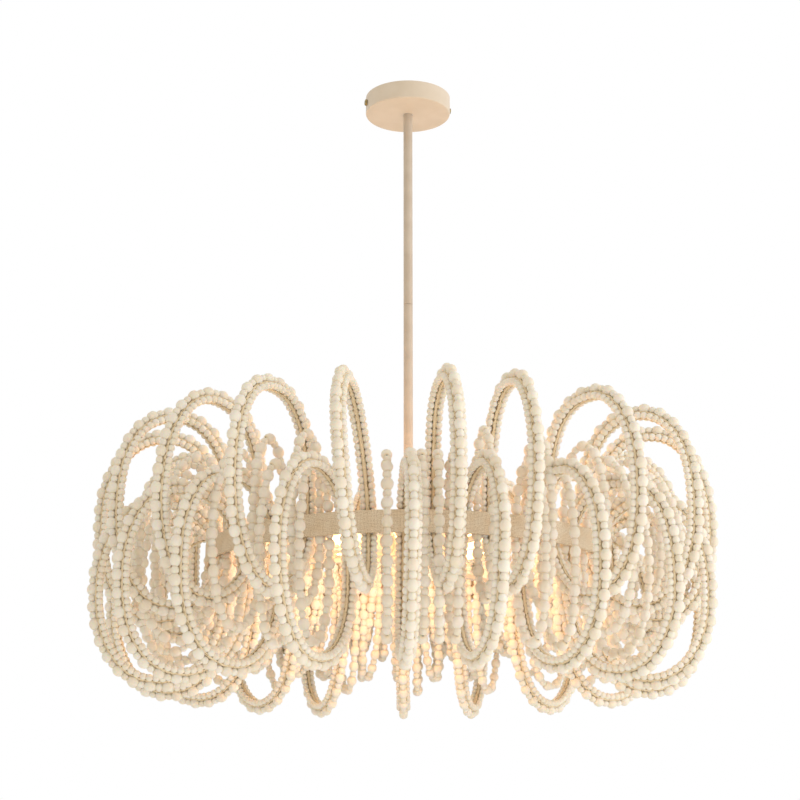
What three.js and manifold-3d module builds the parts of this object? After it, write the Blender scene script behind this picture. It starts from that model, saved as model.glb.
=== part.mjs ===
// Beaded chandelier. A round canopy and a two part down rod carry a hub with six lamp
// holders and a three armed spider. The spider holds a flat steel ring with a woven wrap.
// Two staggered tiers of upright beaded hoops are threaded on the ring, and smaller hoops of
// one bead strand stand between them.
// Millimetres, +Z up. The origin is on the top face of the mounting bracket, on the rod's
// axis, where the bracket meets the ceiling. The front of the fixture faces -Y.
import * as THREE from "three";
import { mergeVertices } from "three/addons/utils/BufferGeometryUtils.js";
import Module from "manifold-3d";

const wasm = await Module();
wasm.setup();

// Clearances
const fixedGap = 0.3; // between pieces that are screwed or pressed together
const slideGap = 0.8; // between the rod and the canopy that slides on it
const overrun = 1; // how far a cutting tool runs past the face that it cuts

// Canopy and its two side screws
const canopyDiameter = 133;
const canopyHeight = 29;
const canopyWall = 1.5;
const canopyEdgeRadius = 2.5;
const ceilingGap = 0.5;
const screwTurn = 14; // degrees that the screws' axis is turned from +X
const screwDiameter = 4;
const screwHeadDiameter = 10;
const screwHeadLength = 3.2;
const screwHeadChamfer = 0.6;

// Mounting bracket inside the canopy
const bracketThickness = 3;
const bracketWidth = 24;
const bracketEndSpace = 8; // between an ear and the canopy's wall
const earHeight = 18;
const slotLength = 13;
const slotWidth = 5;
const slotSpacing = 88.9;
const socketBossDiameter = 22;
const socketBossHeight = 14;

// Down rod
const rodDiameter = 14;
const rodBore = 11;
const rodUpperLength = 341.5;
const couplingLength = 44;
const rodLowerLength = 372;
const pinHoleDiameter = 2.2;
const pinHoleDrop = 168; // below the joint of the two rods
const pinHoleTurn = 42; // degrees from the front, to the right

// Hub, spider and cap
const hubAcrossFlats = 60;
const hubHeight = 36;
const rodSocketDepth = 15;
const studDiameter = 8;
const studDepth = 12; // of the cap's stud in the hub
const spiderThickness = 6;
const spiderDiscDiameter = 56;
const armWidth = 9;
const armTurn = 27; // degrees from the front to the first arm
const armCount = 3;
const capDiameter = 30;
const capHeight = 10;

// Lamp holders and bulbs
const lampCount = 6;
const holderDiameter = 26;
const holderLength = 40;
const holderBore = 15;
const holderBoreDepth = 26;
const bulbBaseDiameter = 12.4;
const bulbBaseLength = 24;
const bulbDiameter = 35;
const bulbLength = 88; // glass only
const bulbNeckDiameter = 17;

// Band: a flat steel ring in a woven wrap
const ringInnerRadius = 293;
const ringThickness = 3;
const ringHeight = 27;
const ringSides = 48;
const wrapThickness = 1.8;
const wrapLip = 1.5;
const wrapLipInset = 1.6;

// Beads
const bigBead = 15;
const smallBead = 9.6;
const sideRowOffset = 6; // of each side row from the hoop's own plane
const outerRowRise = 10.7; // of the outer row from the side rows, so that they touch
const seatGap = 0.35; // between a hoop and the ring that it is tied to
const ringSink = 1; // how deep an inner hoop's weld bites into the ring

// The three kinds of hoop, as the oval that their side rows follow
const upperHoop = { halfWidth: 79, halfHeight: 132.3, rise: 44.5, rings: 16 };
const lowerHoop = { halfWidth: 82, halfHeight: 124.3, rise: -58.5, rings: 16 };
const innerHighHoop = { halfWidth: 46, halfHeight: 112, rise: 8, rings: 12 };
const innerLowHoop = { halfWidth: 51, halfHeight: 121, rise: -38, rings: 12 };
const ovalPower = 2.2; // 2 is an ellipse, more is squarer

// Where each hoop stands on the ring, in degrees from the front and to the right, then the
// degrees that its plane is turned about the vertical and rolled about the radius, and the
// share of its kind's width. The hoops are set by hand, so no two stand quite alike.
const upperPlaceShares = [
  [-66, 0, 1, 1],
  [-48, 0, -1, 1],
  [-28.6, -4, 1, 1.02],
  [-10.8, 0, 5, 1],
  [6.2, 5, 0, 1],
  [21.8, -2, -1, 1],
  [43, -2, 0, 1],
  [63, 0, -1, 0.98],
  [84, 0, 1, 0.98],
  [107.1, 1, -1, 1],
  [130.1, -1, 0, 1],
  [152.3, 2, 1, 1],
  [172.2, -2, -1, 1],
  [192.1, 2, 1, 1],
  [212, -2, -1, 1],
  [231.9, 2, 1, 1],
  [251.8, -1, 1, 1.02],
  [272.3, 2, -1, 1.05],
];
const lowerPlaceShares = [
  [-58, -7, 0, 1.02],
  [-40.5, -5, 1, 1],
  [-17.2, -13, 1, 1],
  [-1.6, 6, -1, 0.98],
  [14.2, 3, -2, 1],
  [33.6, 0, -1, 1],
  [52.5, 0, 1, 1],
  [73.5, -2, 0, 0.97],
  [95.5, 0, -1, 0.97],
  [118.6, 1, 1, 1],
  [141.7, -1, -1, 1],
  [162.2, 2, 1, 1],
  [182.1, -2, -1, 1],
  [202, 2, 1, 1],
  [221.9, -2, -1, 1],
  [241.8, 2, 1, 1.02],
  [261.7, 0, -1, 1.04],
  [283, -2, 1, 1.06],
];
// The inner hoops' places and turns, in degrees, whether each stands high, and the share of
// its kind's width
const innerPlaceShares = [
  [-62.2, -3, 1, 1],
  [-52.8, 0, 0, 1],
  [-36.4, 0, 1, 0.7],
  [-32.7, -3, 0, 0.7],
  [-24.6, -7, 1, 0.7],
  [-21.75, -9, 0, 0.7],
  [-6.2, 8, 0, 0.7],
  [2.1, 5, 0, 0.7],
  [10.2, 0, 0, 0.7],
  [18.2, -1, 1, 0.7],
  [29.6, 0, 0, 0.7],
  [38.3, -4, 0, 0.7],
  [47.7, 0, 1, 0.8],
  [57.8, -5, 0, 1],
  [68.2, 4, 1, 1],
  [78.8, 0, 0, 1],
  [87.9, 0, 1, 1],
  [91.6, 0, 0, 1],
  [99.4, 0, 1, 1],
  [103.1, 0, 0, 1],
  [111, 0, 1, 1],
  [114.7, 0, 0, 1],
  [122.5, 0, 1, 1],
  [126.2, 0, 0, 1],
  [134, 0, 1, 1],
  [137.8, 0, 0, 1],
  [157.3, 0, 0, 1],
  [167.2, 0, 1, 1],
  [177.2, 0, 0, 1],
  [187.1, 0, 1, 1],
  [197.1, 0, 0, 1],
  [207, 0, 1, 1],
  [217, 0, 0, 1],
  [226.9, 0, 1, 1],
  [236.9, 0, 0, 1],
  [246.8, 0, 1, 1],
  [256.8, 0, 0, 1],
  [277.6, 0, 0, 1],
  [288.4, 0, 1, 1],
];

// Finishes
const finish = (color, roughness, metalness) =>
  new THREE.MeshStandardMaterial({ color, roughness, metalness });
const creamPaint = finish("#ecdccb", 0.5, 0.1);
const zincSteel = finish("#b9b9b4", 0.4, 0.9);
const oldBrass = finish("#a58a52", 0.4, 0.9);
const woodBead = finish("#e6ddcd", 0.85, 0);
const wovenWrap = finish("#dcc7a1", 0.95, 0);
const creamHolder = finish("#efe4d2", 0.45, 0);
const warmGlass = finish("#ffe2b0", 0.1, 0);

// Levels, from the ceiling down
const rodTop = -bracketThickness - fixedGap;
const rodJoint = rodTop - rodUpperLength;
const rodLowerTop = rodJoint - fixedGap;
const rodBottom = rodLowerTop - rodLowerLength;
const hubTop = rodBottom + rodSocketDepth;
const hubBottom = hubTop - hubHeight;
const lampLevel = (hubTop + hubBottom) / 2;
const spiderTop = hubBottom - fixedGap;
const spiderBottom = spiderTop - spiderThickness;
const ringLevel = (spiderTop + spiderBottom) / 2;
const capTop = spiderBottom - fixedGap;

const radians = THREE.MathUtils.degToRad;
const fromFront = (degrees) => radians(degrees - 90);

// A closed three.js geometry as a solid that can be joined and cut
function solidOf(geometry) {
  const bare = new THREE.BufferGeometry();
  const loose = geometry.index ? geometry.toNonIndexed() : geometry;
  bare.setAttribute("position", loose.getAttribute("position"));
  const merged = mergeVertices(bare, 1e-4);
  return new wasm.Manifold(
    new wasm.Mesh({
      numProp: 3,
      vertProperties: merged.attributes.position.array,
      triVerts: new Uint32Array(merged.index.array),
    }),
  );
}

function geometryOf(solid) {
  const mesh = solid.getMesh();
  const geometry = new THREE.BufferGeometry();
  geometry.setAttribute("position", new THREE.BufferAttribute(mesh.vertProperties, 3));
  geometry.setIndex(new THREE.BufferAttribute(mesh.triVerts, 1));
  return geometry;
}

// A closed profile of [radius, height] pairs, turned about the Z axis
function turned(profile, sides) {
  const points = profile.map(([radius, height]) => new THREE.Vector2(radius, height));
  return new THREE.LatheGeometry(points, sides).rotateX(Math.PI / 2);
}

// A round bar along Z, for cutting holes, or turned to lie along X
function bar(radius, bottom, top, sides) {
  return turned(
    [
      [0, bottom],
      [radius, bottom],
      [radius, top],
      [0, top],
    ],
    sides,
  );
}
const alongX = (geometry) => geometry.rotateY(Math.PI / 2);

function named(name, geometry, material) {
  const mesh = new THREE.Mesh(geometry, material);
  mesh.name = name;
  return mesh;
}

const chandelier = new THREE.Group();

// Canopy: a spun steel pan, open at the ceiling, with a hole for the rod
function canopyGeometry() {
  const outer = canopyDiameter / 2;
  const inner = outer - canopyWall;
  const hole = rodDiameter / 2 + slideGap;
  const top = -ceilingGap;
  const bottom = -canopyHeight;
  const profile = [[hole, bottom]];
  const edgeSteps = 3;
  for (let step = 0; step <= edgeSteps; step++) {
    const angle = (step / edgeSteps) * (Math.PI / 2);
    profile.push([
      outer - canopyEdgeRadius + canopyEdgeRadius * Math.sin(angle),
      bottom + canopyEdgeRadius - canopyEdgeRadius * Math.cos(angle),
    ]);
  }
  profile.push([outer, top]);
  profile.push([inner, top]);
  profile.push([inner, bottom + canopyEdgeRadius]);
  profile.push([outer - canopyEdgeRadius, bottom + canopyWall]);
  profile.push([hole, bottom + canopyWall]);
  profile.push([hole, bottom]);
  const cutter = alongX(
    bar(screwDiameter / 2 + fixedGap, -outer - overrun, outer + overrun, 10),
  );
  cutter.translate(0, 0, -canopyHeight / 2);
  return geometryOf(solidOf(turned(profile, 32)).subtract(solidOf(cutter)));
}

// Bracket: a slotted cross bar with an ear at each end and a boss that holds the rod
const earFace = canopyDiameter / 2 - canopyWall - bracketEndSpace;
function bracketGeometry() {
  const plan = new THREE.Shape();
  plan.moveTo(-earFace, -bracketWidth / 2);
  plan.lineTo(earFace, -bracketWidth / 2);
  plan.lineTo(earFace, bracketWidth / 2);
  plan.lineTo(-earFace, bracketWidth / 2);
  plan.closePath();
  for (const side of [-1, 1]) {
    const slot = new THREE.Path();
    const near = (side * slotSpacing) / 2 - (slotLength - slotWidth) / 2;
    const far = near + slotLength - slotWidth;
    slot.absarc(far, 0, slotWidth / 2, -Math.PI / 2, Math.PI / 2, false);
    slot.absarc(near, 0, slotWidth / 2, Math.PI / 2, (3 * Math.PI) / 2, false);
    plan.holes.push(slot);
  }
  const plate = new THREE.ExtrudeGeometry(plan, {
    depth: bracketThickness,
    bevelEnabled: false,
    curveSegments: 5,
  }).translate(0, 0, -bracketThickness);
  let made = solidOf(plate);
  for (const side of [-1, 1]) {
    const ear = new THREE.BoxGeometry(bracketThickness, bracketWidth, earHeight);
    ear.translate(side * (earFace - bracketThickness / 2), 0, -earHeight / 2);
    made = made.add(solidOf(ear));
  }
  const bossBottom = -bracketThickness - socketBossHeight;
  const boss = turned(
    [
      [rodDiameter / 2 + fixedGap, bossBottom],
      [socketBossDiameter / 2, bossBottom],
      [socketBossDiameter / 2, -bracketThickness / 2],
      [rodDiameter / 2 + fixedGap, -bracketThickness / 2],
      [rodDiameter / 2 + fixedGap, bossBottom],
    ],
    16,
  );
  return geometryOf(made.add(solidOf(boss)));
}

const bracket = named("mounting_bracket", bracketGeometry(), zincSteel);
bracket.rotation.z = radians(screwTurn);
const canopy = named("canopy", canopyGeometry(), creamPaint);
canopy.rotation.z = radians(screwTurn);
chandelier.add(bracket, canopy);

// Side screws: each goes through the canopy's wall and bears on an ear of the bracket
function screwGeometry() {
  const wall = canopyDiameter / 2 + fixedGap;
  const end = wall + screwHeadLength;
  return alongX(
    turned(
      [
        [0, earFace + fixedGap],
        [screwDiameter / 2, earFace + fixedGap],
        [screwDiameter / 2, wall],
        [screwHeadDiameter / 2, wall],
        [screwHeadDiameter / 2, end - screwHeadChamfer],
        [screwHeadDiameter / 2 - screwHeadChamfer, end],
        [0, end],
      ],
      12,
    ),
  );
}
for (const [name, turn] of [
  ["side_screw_right", screwTurn],
  ["side_screw_left", screwTurn + 180],
]) {
  const screw = named(name, screwGeometry(), oldBrass);
  screw.position.z = -canopyHeight / 2;
  screw.rotation.z = radians(turn);
  chandelier.add(screw);
}

// Down rod: two tubes of one diameter, joined end to end by a hidden threaded coupling
function tubeSolid(top, bottom) {
  return solidOf(
    turned(
      [
        [rodBore / 2, bottom],
        [rodDiameter / 2, bottom],
        [rodDiameter / 2, top],
        [rodBore / 2, top],
        [rodBore / 2, bottom],
      ],
      18,
    ),
  );
}
const pinHole = alongX(bar(pinHoleDiameter / 2, 0, rodDiameter, 8));
pinHole.rotateZ(fromFront(pinHoleTurn)).translate(0, 0, rodJoint - pinHoleDrop);
const rodLower = tubeSolid(rodLowerTop, rodBottom).subtract(solidOf(pinHole));
chandelier.add(named("rod_upper", geometryOf(tubeSolid(rodTop, rodJoint)), creamPaint));
chandelier.add(named("rod_lower", geometryOf(rodLower), creamPaint));
const couplingHalf = couplingLength / 2;
const coupling = bar(
  rodBore / 2 - fixedGap,
  rodJoint - couplingHalf,
  rodJoint + couplingHalf,
  18,
);
chandelier.add(named("rod_coupling", coupling, zincSteel));

// Hub: a six sided block, bored for the rod above and for the cap's stud below
const hubTurn = fromFront(armTurn + 180 / lampCount);
function hubGeometry() {
  const corner = hubAcrossFlats / 2 / Math.cos(Math.PI / lampCount);
  const block = new THREE.CylinderGeometry(corner, corner, hubHeight, lampCount);
  block.rotateX(Math.PI / 2).rotateZ(Math.PI / lampCount + Math.PI / 2 + hubTurn);
  block.translate(0, 0, lampLevel);
  const rodHole = bar(rodDiameter / 2 + fixedGap, rodBottom - fixedGap, hubTop + overrun, 18);
  const studHole = bar(
    studDiameter / 2 + fixedGap,
    hubBottom - overrun,
    hubBottom + studDepth + overrun,
    12,
  );
  return geometryOf(
    solidOf(block).subtract(solidOf(rodHole)).subtract(solidOf(studHole)),
  );
}
chandelier.add(named("lamp_hub", hubGeometry(), creamPaint));

// Spider: a disc under the hub with three flat arms that reach the band's inner face
function spiderGeometry() {
  let made = solidOf(bar(spiderDiscDiameter / 2, spiderBottom, spiderTop, 24));
  const reach = ringInnerRadius - fixedGap;
  for (let arm = 0; arm < armCount; arm++) {
    const flat = new THREE.BoxGeometry(reach, armWidth, spiderThickness);
    flat.translate(reach / 2, 0, ringLevel);
    flat.rotateZ(fromFront(armTurn + (arm * 360) / armCount));
    made = made.add(solidOf(flat));
  }
  const hole = bar(
    studDiameter / 2 + fixedGap,
    spiderBottom - overrun,
    spiderTop + overrun,
    12,
  );
  return geometryOf(made.subtract(solidOf(hole)));
}
chandelier.add(named("spider_arms", spiderGeometry(), creamPaint));

// Cap: a domed nut whose stud goes through the spider into the hub
function capGeometry() {
  const profile = [[0, capTop - capHeight]];
  const domeSteps = 4;
  for (let step = 1; step <= domeSteps; step++) {
    const angle = (step / domeSteps) * (Math.PI / 2);
    profile.push([
      (capDiameter / 2) * Math.sin(angle),
      capTop - capHeight * Math.cos(angle),
    ]);
  }
  profile.push([studDiameter / 2, capTop]);
  profile.push([studDiameter / 2, hubBottom + studDepth]);
  profile.push([0, hubBottom + studDepth]);
  return turned(profile, 16);
}
chandelier.add(named("hub_cap", capGeometry(), creamPaint));

// Lamp holder: a plain sleeve on a flat of the hub, bored for the bulb's base
const holderStart = hubAcrossFlats / 2 + fixedGap;
const holderEnd = holderStart + holderLength;
function holderGeometry() {
  return alongX(
    turned(
      [
        [0, holderStart],
        [holderDiameter / 2, holderStart],
        [holderDiameter / 2, holderEnd],
        [holderBore / 2, holderEnd],
        [holderBore / 2, holderEnd - holderBoreDepth],
        [0, holderEnd - holderBoreDepth],
      ],
      12,
    ),
  );
}

// Bulb: a screwed base in the holder and a candle shaped glass whose neck meets its rim
function bulbGeometry() {
  const neck = holderEnd + fixedGap;
  const profile = [
    [0, neck - bulbBaseLength],
    [bulbBaseDiameter / 2, neck - bulbBaseLength],
    [bulbBaseDiameter / 2, neck],
    [bulbNeckDiameter / 2, neck],
  ];
  const glassShares = [
    [0.14, 0.78],
    [0.32, 1],
    [0.52, 0.93],
    [0.74, 0.6],
    [0.92, 0.24],
  ];
  for (const [lengthShare, widthShare] of glassShares)
    profile.push([(bulbDiameter / 2) * widthShare, neck + bulbLength * lengthShare]);
  profile.push([0, neck + bulbLength]);
  return alongX(turned(profile, 10));
}

for (let lamp = 0; lamp < lampCount; lamp++) {
  const arm = new THREE.Group();
  arm.position.z = lampLevel;
  arm.rotation.z = hubTurn + (lamp * 2 * Math.PI) / lampCount;
  arm.add(named(`lamp_holder_${lamp + 1}`, holderGeometry(), creamHolder));
  arm.add(named(`bulb_${lamp + 1}`, bulbGeometry(), warmGlass));
  chandelier.add(arm);
}

// A ring of flat facets. The radii of the section are measured across the flats.
function facetRing(section) {
  const corner = 1 / Math.cos(Math.PI / ringSides);
  return turned(
    section.map(([radius, height]) => [radius * corner, height]),
    ringSides,
  );
}

// The oval that a hoop's side rows follow, in the hoop's own plane: x out, z up
class Oval extends THREE.Curve {
  constructor(halfWidth, halfHeight) {
    super();
    this.halfWidth = halfWidth;
    this.halfHeight = halfHeight;
  }
  getPoint(share) {
    const angle = share * 2 * Math.PI;
    const across = Math.cos(angle);
    const upward = Math.sin(angle);
    const powers = Math.abs(across) ** ovalPower + Math.abs(upward) ** ovalPower;
    const stretch = powers ** (-1 / ovalPower);
    return new THREE.Vector3(
      this.halfWidth * stretch * across,
      0,
      this.halfHeight * stretch * upward,
    );
  }
}

// A closed rope round an oval. sectionAt gives the section of one ring of the rope as
// [sideways, outward] pairs, in the order that keeps the faces pointing out.
function ropeGeometry(oval, rings, sectionAt) {
  const positions = [];
  const faces = [];
  const sides = sectionAt(0).length;
  for (let ring = 0; ring < rings; ring++) {
    const share = ring / rings;
    const centre = oval.getPoint(share);
    const tangent = oval.getTangent(share);
    const outward = new THREE.Vector3(tangent.z, 0, -tangent.x);
    for (const [sideways, rise] of sectionAt(ring))
      positions.push(centre.x + outward.x * rise, sideways, centre.z + outward.z * rise);
    const here = ring * sides;
    const next = ((ring + 1) % rings) * sides;
    for (let side = 0; side < sides; side++) {
      const other = (side + 1) % sides;
      faces.push(here + side, here + other, next + other);
      faces.push(here + side, next + other, next + side);
    }
  }
  const geometry = new THREE.BufferGeometry();
  geometry.setAttribute("position", new THREE.Float32BufferAttribute(positions, 3));
  geometry.setIndex(faces);
  return geometry;
}

// Three rows of beads: an outer row of large and small beads in turn on two side rows
function threeRowSection(ring) {
  const outerBead = ring % 2 ? smallBead : bigBead;
  const crest = outerRowRise + outerBead / 2;
  const crestHalf = outerBead / 3;
  const shoulder = sideRowOffset + smallBead / 2;
  return [
    [-crestHalf, crest],
    [crestHalf, crest],
    [shoulder, 0],
    [0, -smallBead / 2],
    [-shoulder, 0],
  ];
}

// One row of large and small beads in turn
function oneRowSection(ring) {
  const half = (ring % 2 ? smallBead : bigBead) / 2;
  return [
    [-half, 0],
    [0, half],
    [half, 0],
    [0, -half],
  ];
}

// How far a shape reaches past the ring's inner face within the ring's height, when it
// stands at the ring with its own x pointing out. Edges are cut at the ring's two levels.
function reachAtRing(geometry, halfBand, innerSide) {
  const position = geometry.getAttribute("position");
  const index = geometry.index.array;
  const start = new THREE.Vector3();
  const end = new THREE.Vector3();
  let reach = -Infinity;
  for (let corner = 0; corner < index.length; corner++) {
    const step = corner % 3 === 2 ? -2 : 1;
    start.fromBufferAttribute(position, index[corner]);
    end.fromBufferAttribute(position, index[corner + step]);
    if (start.x > innerSide || end.x > innerSide) continue;
    for (const level of [-halfBand, halfBand]) {
      if ((start.z - level) * (end.z - level) > 0) continue;
      const share = (level - start.z) / (end.z - start.z || 1);
      const cut = start.clone().lerp(end, share);
      reach = Math.max(reach, cut.x + (cut.y * cut.y) / (2 * ringInnerRadius));
    }
    if (Math.abs(start.z) < halfBand)
      reach = Math.max(reach, start.x + (start.y * start.y) / (2 * ringInnerRadius));
  }
  return reach;
}

// A hoop that encloses the ring, turned and rolled at its seat, its inner strand set the
// stated gap short of the ring's inner face
function seatedHoop(kind, widthShare, turn, roll, sectionAt, gap) {
  const halfWidth = kind.halfWidth * widthShare;
  const oval = new Oval(halfWidth, kind.halfHeight);
  const rope = ropeGeometry(oval, kind.rings, sectionAt);
  rope.translate(halfWidth, 0, kind.rise);
  rope.rotateX(radians(roll)).rotateZ(radians(turn));
  const band = ringHeight / 2;
  rope.translate(-gap - reachAtRing(rope, band, halfWidth), 0, 0);
  return rope;
}

// The band's place on the ring, degrees from the front
function standing(degrees) {
  const spot = new THREE.Group();
  spot.position.z = ringLevel;
  spot.rotation.z = fromFront(degrees);
  return spot;
}

// Band ring: a flat steel strip with the inner hoops welded to its inner face
function bandRingGeometry() {
  const outer = ringInnerRadius + ringThickness;
  const half = ringHeight / 2;
  const strip = facetRing([
    [ringInnerRadius, -half],
    [outer, -half],
    [outer, half],
    [ringInnerRadius, half],
    [ringInnerRadius, -half],
  ]);
  let made = solidOf(strip);
  for (const [degrees, turn, high, widthShare] of innerPlaceShares) {
    const kind = high ? innerHighHoop : innerLowHoop;
    const hoop = seatedHoop(kind, widthShare, turn, 0, oneRowSection, -ringSink);
    hoop.translate(ringInnerRadius, 0, 0).rotateZ(fromFront(degrees));
    made = made.add(solidOf(hoop));
  }
  return geometryOf(made);
}

// Band wrap: a woven channel round the outside of the strip, lapped over its two edges
function bandWrapGeometry() {
  const inner = ringInnerRadius + ringThickness + fixedGap;
  const outer = inner + wrapThickness;
  const lip = ringInnerRadius + wrapLipInset;
  const half = ringHeight / 2 + fixedGap;
  const edge = half + wrapLip;
  return facetRing([
    [lip, -edge],
    [outer, -edge],
    [outer, edge],
    [lip, edge],
    [lip, half],
    [inner, half],
    [inner, -half],
    [lip, -half],
    [lip, -edge],
  ]);
}
const bandRing = named("band_ring", bandRingGeometry(), woodBead);
const bandWrap = named("band_wrap", bandWrapGeometry(), wovenWrap);
bandRing.position.z = ringLevel;
bandWrap.position.z = ringLevel;
chandelier.add(bandRing, bandWrap);

// The two tiers of beaded hoops, threaded on the band
function addTier(tier, kind, places) {
  places.forEach(([degrees, turn, roll, widthShare], place) => {
    const number = String(place + 1).padStart(2, "0");
    const rope = seatedHoop(kind, widthShare, turn, roll, threeRowSection, seatGap);
    const hoop = named(`${tier}_hoop_${number}`, rope, woodBead);
    hoop.position.x = ringInnerRadius;
    const spot = standing(degrees);
    spot.add(hoop);
    chandelier.add(spot);
  });
}
addTier("upper", upperHoop, upperPlaceShares);
addTier("lower", lowerHoop, lowerPlaceShares);

export default chandelier;
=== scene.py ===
import math

import bmesh
import bpy
from mathutils import Matrix, Vector


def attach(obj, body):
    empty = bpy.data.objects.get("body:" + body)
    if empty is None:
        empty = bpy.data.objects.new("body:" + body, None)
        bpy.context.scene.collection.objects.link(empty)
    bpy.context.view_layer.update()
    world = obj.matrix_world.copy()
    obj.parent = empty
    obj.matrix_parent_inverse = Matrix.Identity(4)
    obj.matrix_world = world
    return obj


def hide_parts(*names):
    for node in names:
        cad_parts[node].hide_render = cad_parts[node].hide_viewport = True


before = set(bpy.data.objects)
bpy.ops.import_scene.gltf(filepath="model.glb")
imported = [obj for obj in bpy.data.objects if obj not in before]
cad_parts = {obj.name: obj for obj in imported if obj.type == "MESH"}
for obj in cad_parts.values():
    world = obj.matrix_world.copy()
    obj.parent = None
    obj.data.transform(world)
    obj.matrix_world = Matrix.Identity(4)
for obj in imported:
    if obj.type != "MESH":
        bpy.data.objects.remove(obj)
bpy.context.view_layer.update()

# Studio: a pale floor far below, white all round, and soft lamps at a plain level. The camera
# stands below the beads and looks a little up at them, as the photograph's does.
scene = bpy.context.scene
scene.view_settings.view_transform = "Standard"
camera_data = bpy.data.cameras.new("camera")
sensor_width = 36
frame_pixels = 800
focal_pixels = 1738
camera_data.sensor_width = sensor_width
camera_data.lens = sensor_width * focal_pixels / frame_pixels
camera = bpy.data.objects.new("camera", camera_data)
camera.location = (-0.0125, -2.5356, -1.1899)
camera_tilt = 15.3
camera.rotation_euler = (math.radians(90 + camera_tilt), 0, 0)
scene.collection.objects.link(camera)
scene.camera = camera


class Value:
    """One socket of a node tree. Sums on it add Math nodes to its tree."""

    def __init__(self, net, socket):
        self.net = net
        self.socket = socket

    def out(self, name):
        return Value(self.net, self.net.pick(self.socket.node.outputs, name))

    def math(self, operation, *others):
        return self.net.add("ShaderNodeMath", {"operation": operation}, dict(enumerate(others)))

    def __add__(self, other):
        return self.math("ADD", self, other)

    def __mul__(self, other):
        return self.math("MULTIPLY", self, other)

    def __truediv__(self, other):
        return self.math("DIVIDE", self, other)

    def __pow__(self, other):
        return self.math("POWER", self, other)

    def __abs__(self):
        return self.math("ABSOLUTE", self)

    def __radd__(self, other):
        return self.math("ADD", other, self)

    def __rsub__(self, other):
        return self.math("SUBTRACT", other, self)

    def __rmul__(self, other):
        return self.math("MULTIPLY", other, self)

    def sine(self):
        return self.math("SINE", self)

    def fraction(self):
        return self.math("FRACT", self)

    def odd(self):
        return self.math("MODULO", self, 2.0)

    def floor(self):
        return self.math("FLOOR", self)

    def ramp(self, low, high):
        return self.net.add(
            "ShaderNodeMapRange",
            {"interpolation_type": "SMOOTHSTEP"},
            {"Value": self, "From Min": low, "From Max": high},
        )


class Net:
    """A node tree under construction."""

    def __init__(self, tree):
        self.tree = tree

    @staticmethod
    def pick(sockets, key):
        """The socket with a number or a name. Of several with one name it is the one in use."""
        if isinstance(key, int):
            return sockets[key]
        live = [s for s in sockets if s.name == key and s.enabled]
        return live[0] if live else sockets[key]

    def add(self, kind, settings=None, inputs=None):
        """A new node: its settings first, then a value, a link or a list of links per socket."""
        node = self.tree.nodes.new(kind)
        for name, value in (settings or {}).items():
            setattr(node, name, value)
        for key, value in (inputs or {}).items():
            socket = self.pick(node.inputs, key)
            for one in value if isinstance(value, list) else [value]:
                if isinstance(one, Value):
                    self.tree.links.new(one.socket, socket)
                else:
                    socket.default_value = one
        return Value(self, next((s for s in node.outputs if s.enabled), None)) if node.outputs else None

    def mix(self, factor, first, second):
        """The mix of two colours. Sockets 6 and 7 are the node's two colours, output 2 its result."""
        colors = {0: factor, 6: first, 7: second}
        return self.add("ShaderNodeMix", {"data_type": "RGBA"}, colors).out(2)

    def vector(self, operation, first, second):
        return self.add("ShaderNodeVectorMath", {"operation": operation}, {0: first, 1: second})


def finish(name):
    """A new material with one Principled shader: the material, its net and the shader's node."""
    material = bpy.data.materials.new(name)
    material.use_nodes = True
    return material, Net(material.node_tree), material.node_tree.nodes["Principled BSDF"]


def feed(net, shader, **sockets):
    """Sets or links sockets of the shader, named with _ for each space."""
    for name, value in sockets.items():
        socket = shader.inputs[name.replace("_", " ")]
        if isinstance(value, Value):
            net.tree.links.new(value.socket, socket)
        else:
            socket.default_value = value


def bump(net, height, strength, distance):
    return net.add("ShaderNodeBump", None, {"Strength": strength, "Distance": distance, "Height": height})


def shows_to_eye(net):
    """1 where a surface is seen straight, in a reflection or through glass, and 0 elsewhere."""
    path = net.add("ShaderNodeLightPath")
    straight = path.out("Is Camera Ray")
    mirrored = straight.math("MAXIMUM", straight, path.out("Is Glossy Ray"))
    return mirrored.math("MAXIMUM", mirrored, path.out("Is Transmission Ray"))


world = bpy.data.worlds.new("studio")
scene.world = world
world.use_nodes = True
world.node_tree.nodes.clear()
sky = Net(world.node_tree)
soft = sky.add("ShaderNodeBackground", None, {"Color": (1, 0.925, 0.795, 1), "Strength": 0.78})
white = sky.add("ShaderNodeBackground", None, {"Color": (1, 1, 1, 1), "Strength": 1.0})
both = sky.add("ShaderNodeMixShader", None, {0: shows_to_eye(sky), 1: soft, 2: white})
sky.add("ShaderNodeOutputWorld", None, {"Surface": both})


def lamp(name, place, aim, size, power, color):
    data = bpy.data.lights.new(name, "AREA")
    data.shape = "DISK"
    data.size = size
    data.energy = power
    data.color = color
    lamp_object = bpy.data.objects.new(name, data)
    lamp_object.location = place
    lamp_object.rotation_euler = (Vector(aim) - Vector(place)).to_track_quat("-Z", "Y").to_euler()
    scene.collection.objects.link(lamp_object)


lamp("key_lamp", (3.1, -1.2, -0.35), (0.1, 0, -0.65), 3.2, 42, (0.985, 0.985, 1))
lamp("low_lamp", (0.4, -1.2, -2.1), (0, 0, -0.5), 1.6, 5, (1, 0.97, 0.93))

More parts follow.
